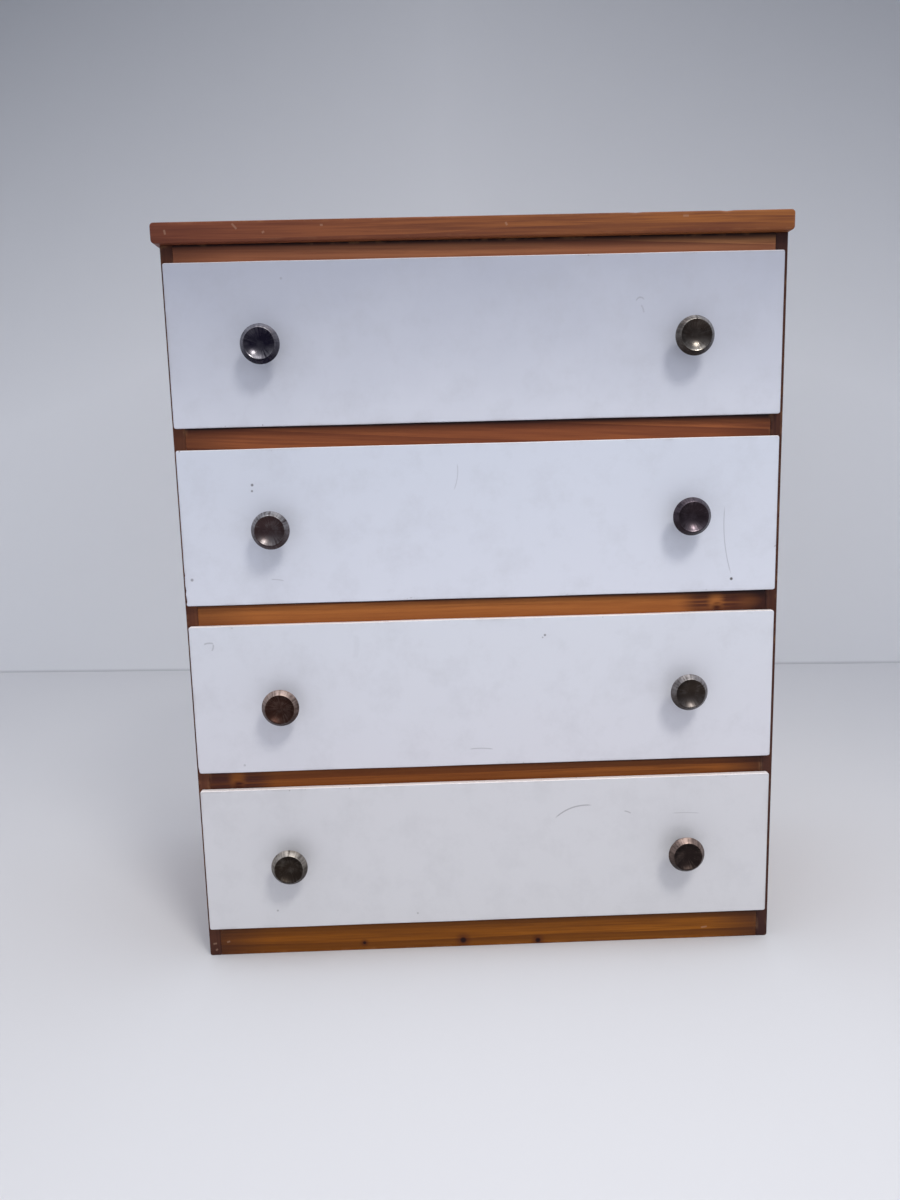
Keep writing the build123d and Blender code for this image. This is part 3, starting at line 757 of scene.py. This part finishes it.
FRONT_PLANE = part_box("side_left")[0].y  # the front edges of the side panels
BOOTH_HALF = 1.1        # half the width of the floor and the backdrop
BOOTH_MOUTH = -0.80     # where the floor ends in front
BACKDROP_Y = FRONT_PLANE + 0.545
BACKDROP_TURN = 0.085   # the backdrop stands a little askew, nearer on the right
BACKDROP_HEIGHT = 1.2
# The backdrop's painted shade begins at one height and is darkest at the other. Both come lower
# towards its sides, by a share of the way from the middle.
DIM_FROM, DIM_TO, DIM_SIDES = 0.41, 0.87, 0.35


def stage_plane(name, corners, material):
    """A flat sheet of the stage."""
    shape = bmesh.new()
    shape.faces.new([shape.verts.new(c) for c in corners])
    mesh = bpy.data.meshes.new(name)
    shape.to_mesh(mesh)
    shape.free()
    mesh.materials.append(material)
    sheet = bpy.data.objects.new(name, mesh)
    bpy.context.scene.collection.objects.link(sheet)


def floor_paper():
    """Smooth white paper, evenly lit."""
    return new_material("white_floor_paper", Roughness=0.6, Base_Color=linear("d6d6d8"))[0]


def backdrop_paper():
    """Matt white paper, with painted shade: darker above and towards both sides, as out of the
    lamp's beam, and a thin painted shade line along its crease at the floor. Its back is clear, so
    that it hides nothing from behind."""
    material, tree, shader = new_material("pale_backdrop_paper", Roughness=0.8)
    axes = add(tree, "SeparateXYZ", {0: add(tree, "TexCoord").outputs["Object"]}).outputs
    sideways = add(tree, "Math", {0: axes["X"]}, operation="ABSOLUTE").outputs[0]
    raised = {0: sideways, 1: DIM_SIDES, 2: axes["Z"]}
    away = add(tree, "Math", raised, operation="MULTIPLY_ADD").outputs[0]
    # Painted shade: darker higher up and towards the sides.
    paper = laid_on(tree, linear("f8f9fa"), "999ca1", away, DIM_FROM, DIM_TO)
    # Painted shade: a thin dark line along the crease at the floor.
    paper = laid_on(tree, paper, "6a6c70", axes["Z"], 3 * MM, 0.5 * MM, 0.32)
    tree.links.new(paper, shader.inputs["Base Color"])
    behind = add(tree, "NewGeometry").outputs["Backfacing"]
    clear = add(tree, "BsdfTransparent").outputs[0]
    sides = add(tree, "MixShader", {0: behind, 1: shader.outputs[0], 2: clear})
    tree.links.new(sides.outputs[0], tree.nodes["Material Output"].inputs["Surface"])
    return material


left, right = -BOOTH_HALF, BOOTH_HALF
far_left = BACKDROP_Y + BOOTH_HALF * BACKDROP_TURN
far_right = BACKDROP_Y - BOOTH_HALF * BACKDROP_TURN
mouth_left, mouth_right = (left, BOOTH_MOUTH, 0), (right, BOOTH_MOUTH, 0)
crease_left, crease_right = (left, far_left, 0), (right, far_right, 0)
top_left, top_right = (left, far_left, BACKDROP_HEIGHT), (right, far_right, BACKDROP_HEIGHT)
stage_plane("floor", [mouth_left, mouth_right, crease_right, crease_left], floor_paper())
stage_plane("backdrop", [crease_left, crease_right, top_right, top_left], backdrop_paper())

# A hooded lamp above on the right, aimed at the floor in front of the chest. The top drawer is
# near the soft edge of its beam.
LAMP_PLACE, LAMP_TARGET = Vector((0.35, -0.85, 1.15)), Vector((0.03, -0.19, 0.0))
lamp = bpy.data.lights.new("lamp", "SPOT")
lamp.energy = 31
lamp.color = (1.0, 0.98, 0.94)
lamp.shadow_soft_size = 0.16
lamp.spot_size = radians(44)
lamp.spot_blend = 1.0
holder = bpy.data.objects.new("lamp", lamp)
bpy.context.scene.collection.objects.link(holder)
facing = (LAMP_TARGET - LAMP_PLACE).to_track_quat("-Z", "Y")
holder.matrix_world = Matrix.Translation(LAMP_PLACE) @ facing.to_matrix().to_4x4()

# The room in front of the booth is dim. Light comes down through its roof, which the dished
# knobs reflect towards their lower rims. The roof is brighter than white, so both are linear.
ROOM, ROOF = (0.54, 0.56, 0.63, 1), (2.6, 2.63, 2.75, 1)
world = bpy.data.worlds.new("room")
bpy.context.scene.world = world
world.use_nodes = True
tree = world.node_tree
up = add(tree, "SeparateXYZ", {0: add(tree, "TexCoord").outputs["Generated"]}).outputs["Z"]
overhead = add(tree, "MapRange", {"Value": up, "From Min": 0.85, "From Max": 1.0}).outputs[0]
light = add(tree, "Mix", {"Factor": overhead, "A": ROOM, "B": ROOF}, data_type="RGBA").outputs["Result"]
tree.links.new(light, tree.nodes["Background"].inputs["Color"])

# A hand-held view from the front: a little left of the middle, tilted down 9.3 degrees,
# turned 1.1 degrees to the right and rolled 1.5 degrees.
CAMERA_PLACE = (-0.0220, FRONT_PLANE - 0.3932, 0.2243)
CAMERA_TURNS = ((-1.13, "Z"), (80.73, "X"), (-1.49, "Z"))
camera = bpy.data.cameras.new("camera")
camera.lens = 27.9
camera.sensor_width = 36
camera.clip_start = 0.01
viewer = bpy.data.objects.new("camera", camera)
bpy.context.scene.collection.objects.link(viewer)
pan, tilt, roll = (Matrix.Rotation(radians(angle), 4, axis) for angle, axis in CAMERA_TURNS)
viewer.matrix_world = Matrix.Translation(CAMERA_PLACE) @ pan @ tilt @ roll
bpy.context.scene.camera = viewer
bpy.context.scene.view_settings.view_transform = "Standard"
